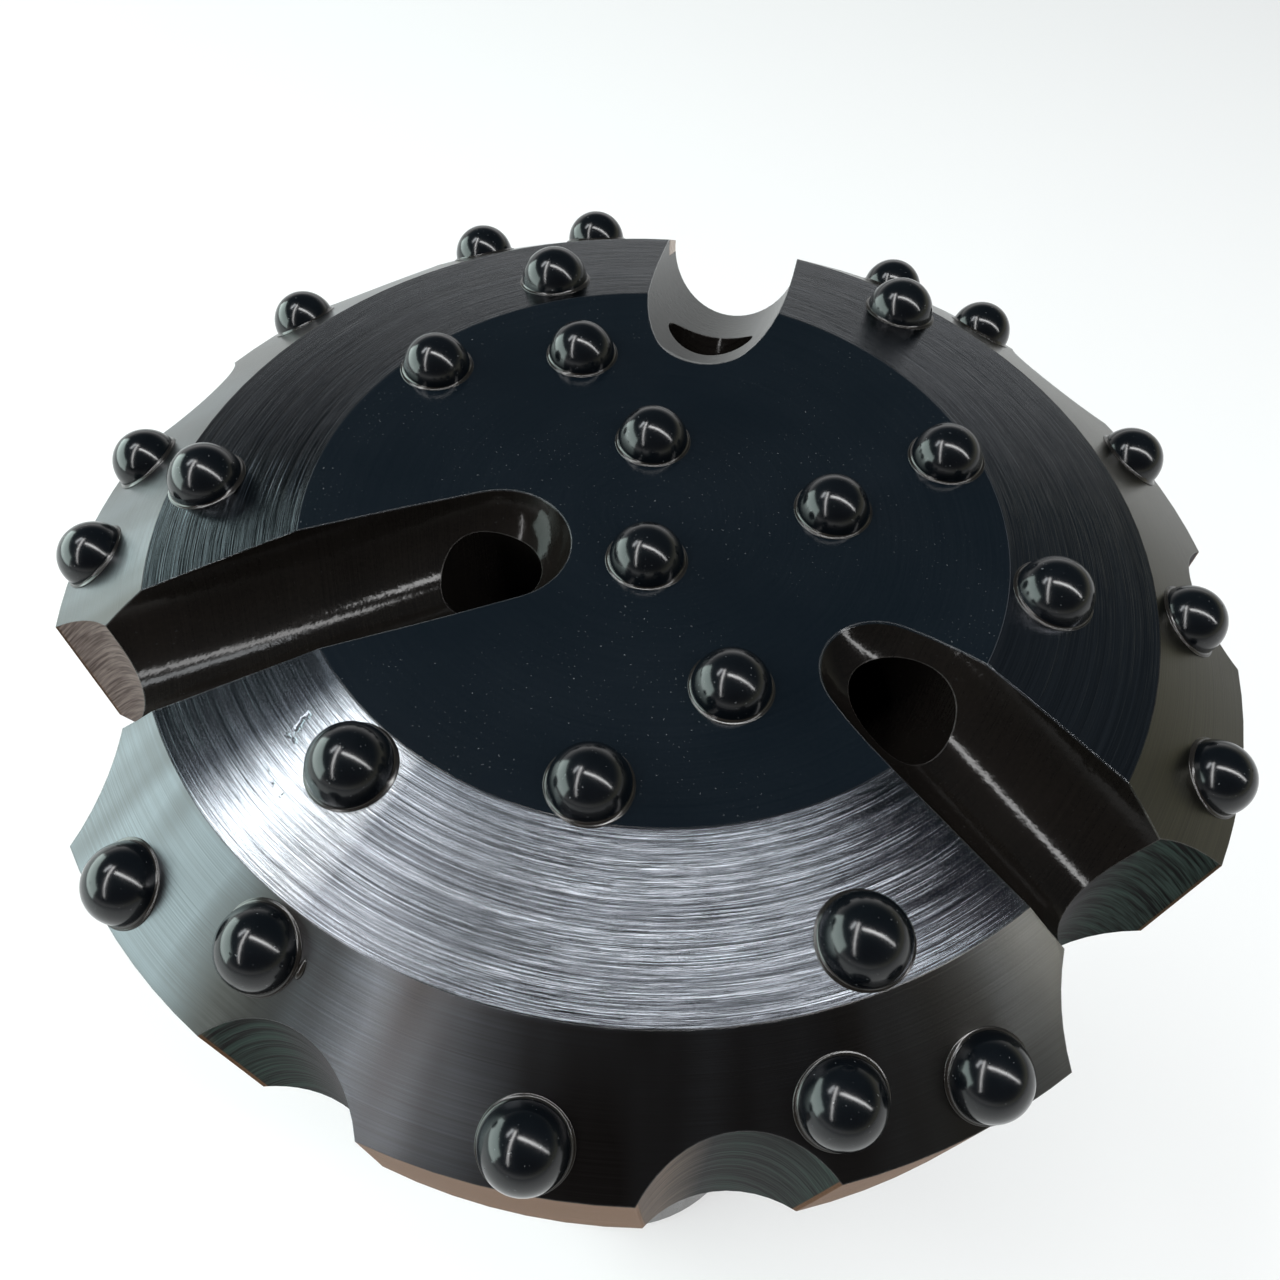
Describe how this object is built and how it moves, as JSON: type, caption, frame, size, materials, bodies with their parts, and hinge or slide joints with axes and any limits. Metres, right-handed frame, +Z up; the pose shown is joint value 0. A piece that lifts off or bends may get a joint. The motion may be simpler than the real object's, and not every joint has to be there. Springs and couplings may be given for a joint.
{
  "type": "down-the-hole drill bit",
  "caption": "Percussion rock drill bit with a domed round head, carbide buttons, junk slots, flushing grooves and a splined shank.",
  "frame": {"origin": "centre of the strike face at the foot of the shank", "axes": "+Z up the bit's axis towards the cutting face; +X to the right and +Y away from the picture's viewer"},
  "size_m": [0.3024, 0.3023, 0.489],
  "materials": {
    "varnished_steel": "gloss",
    "varnished_carbide": "gloss"
  },
  "bodies": {
    "root": {"bit_body": "varnished_steel", "gauge_button_01": "varnished_carbide", "gauge_button_02": "varnished_carbide", "gauge_button_03": "varnished_carbide", "gauge_button_04": "varnished_carbide", "gauge_button_05": "varnished_carbide", "gauge_button_06": "varnished_carbide", "gauge_button_07": "varnished_carbide", "gauge_button_08": "varnished_carbide", "gauge_button_09": "varnished_carbide", "gauge_button_10": "varnished_carbide", "gauge_button_11": "varnished_carbide", "gauge_button_12": "varnished_carbide", "gauge_button_13": "varnished_carbide", "gauge_button_14": "varnished_carbide", "gauge_button_15": "varnished_carbide", "inner_button_01": "varnished_carbide", "inner_button_02": "varnished_carbide", "inner_button_03": "varnished_carbide", "inner_button_04": "varnished_carbide", "inner_button_05": "varnished_carbide", "inner_button_06": "varnished_carbide", "face_button_01": "varnished_carbide", "face_button_02": "varnished_carbide", "face_button_03": "varnished_carbide", "face_button_04": "varnished_carbide", "face_button_05": "varnished_carbide", "face_button_06": "varnished_carbide", "face_button_07": "varnished_carbide", "face_button_08": "varnished_carbide"}
  },
  "joints": []
}
